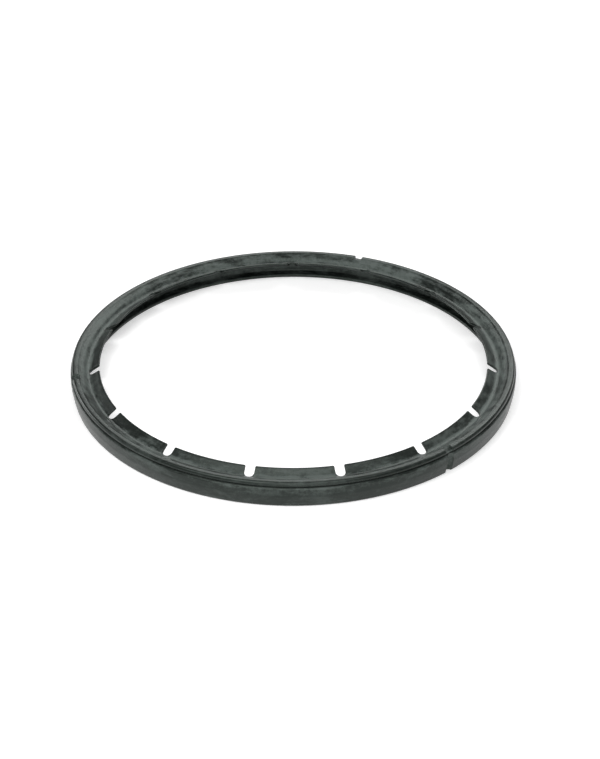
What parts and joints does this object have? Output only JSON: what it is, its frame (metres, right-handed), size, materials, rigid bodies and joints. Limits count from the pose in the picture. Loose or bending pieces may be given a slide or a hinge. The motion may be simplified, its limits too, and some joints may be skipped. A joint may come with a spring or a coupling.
{
  "type": "pressure cooker sealing ring",
  "caption": "Round moulded rubber sealing ring for a stovetop pressure cooker lid: slotted upper lip, flat lower flange, flared outer skirt with locating notches.",
  "frame": {"origin": "centre of the flat lower face the ring lies on, on the ring's axis", "axes": "+Z is the ring's axis, from the lower flange up towards the slotted lip; one locating notch is 70.7 degrees round from +X towards +Y"},
  "size_m": [0.253, 0.253, 0.0146],
  "materials": {
    "ring_rubber": "semi-matte moulded rubber, faintly chalky"
  },
  "bodies": {
    "root": {"sealing_ring": "ring_rubber"}
  },
  "joints": []
}
